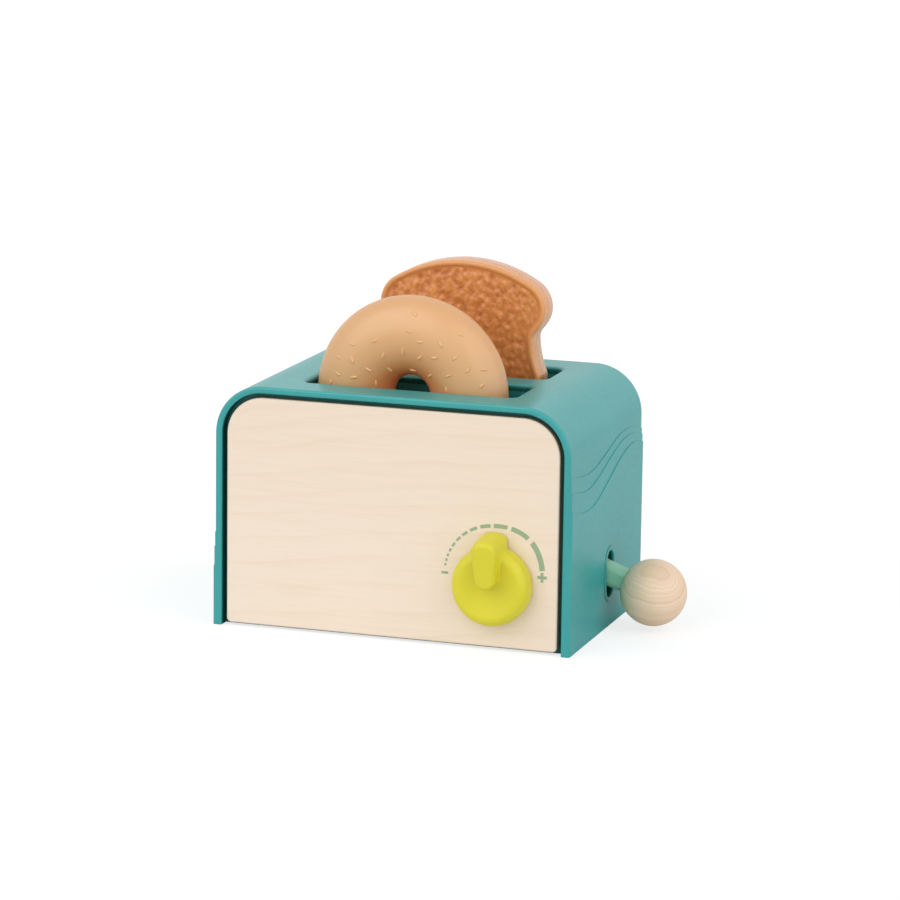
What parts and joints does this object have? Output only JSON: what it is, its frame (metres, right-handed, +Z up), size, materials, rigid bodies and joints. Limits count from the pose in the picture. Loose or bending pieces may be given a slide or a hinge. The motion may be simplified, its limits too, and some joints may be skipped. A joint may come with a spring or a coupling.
{
  "type": "toy toaster",
  "caption": "Play toaster with wooden boards, a see-saw lever with a wooden ball that lifts the bread, a click dial, a bagel and a slice of toast.",
  "frame": {"origin": "bottom centre of the casing, on the surface that it stands on", "axes": "+X to the right, towards the ball; -Y to the front, towards the dial; +Z up"},
  "size_m": [0.2028, 0.1317, 0.16],
  "materials": {
    "teal_plastic": "satin",
    "mint_plastic": "satin",
    "yellow_plastic": "satin",
    "inner_plastic": "satin",
    "pale_board": "matt clear lacquer",
    "beech": "matt clear lacquer",
    "bagel_plastic": "satin",
    "toast_plastic": "matt",
    "steel": "zinc plated",
    "washer_rubber": "matt"
  },
  "bodies": {
    "chassis": {"shell": "teal_plastic", "front_panel": "pale_board", "back_panel": "pale_board", "base_plate": "teal_plastic", "bread_chute": "teal_plastic", "front_panel_screws": "steel", "back_panel_screws": "steel", "base_screws": "steel", "bracket_screws": "steel", "chute_screws": "steel", "guide_rods": "steel", "lever_bracket": "inner_plastic", "lever_pin": "steel", "pin_clip": "steel", "friction_washers": "washer_rubber", "click_spring": "inner_plastic", "click_spring_screws": "steel"},
    "dial": {"dial_knob": "yellow_plastic", "click_wheel": "inner_plastic", "dial_washer": "steel", "dial_screw": "steel"},
    "lever": {"lever_arm": "mint_plastic", "ball_handle": "beech", "link_pin": "steel"},
    "tray": {"bread_tray": "teal_plastic"},
    "bagel": {"bagel_front": "bagel_plastic", "bagel_back": "bagel_plastic"},
    "toast": {"toast_front": "toast_plastic", "toast_back": "toast_plastic"}
  },
  "joints": [
    {"name": "tray_drop", "type": "slide", "parent": "chassis", "child": "tray", "axis": [0, 0, -1], "range_m": [0, 0.01696]},
    {"name": "lever_swing", "type": "hinge", "parent": "chassis", "child": "lever", "pos_m": [0.0695, 0.0045, 0.029], "axis": [0, -1, 0], "range_deg": [0, 14]},
    {"name": "dial_turn", "type": "hinge", "parent": "chassis", "child": "dial", "pos_m": [0.0485, -0.056, 0.03], "axis": [0, 1, 0], "range_deg": [-85, 85]},
    {"name": "bagel_lift", "type": "slide", "parent": "tray", "child": "bagel", "axis": [0, 0, 1], "range_m": [0, 0.075]},
    {"name": "toast_lift", "type": "slide", "parent": "tray", "child": "toast", "axis": [0, 0, 1], "range_m": [0, 0.075]}
  ],
  "couplings": [
    {"joint": "lever_swing", "follows": "tray_drop", "rad_per_m": 14.408}
  ]
}
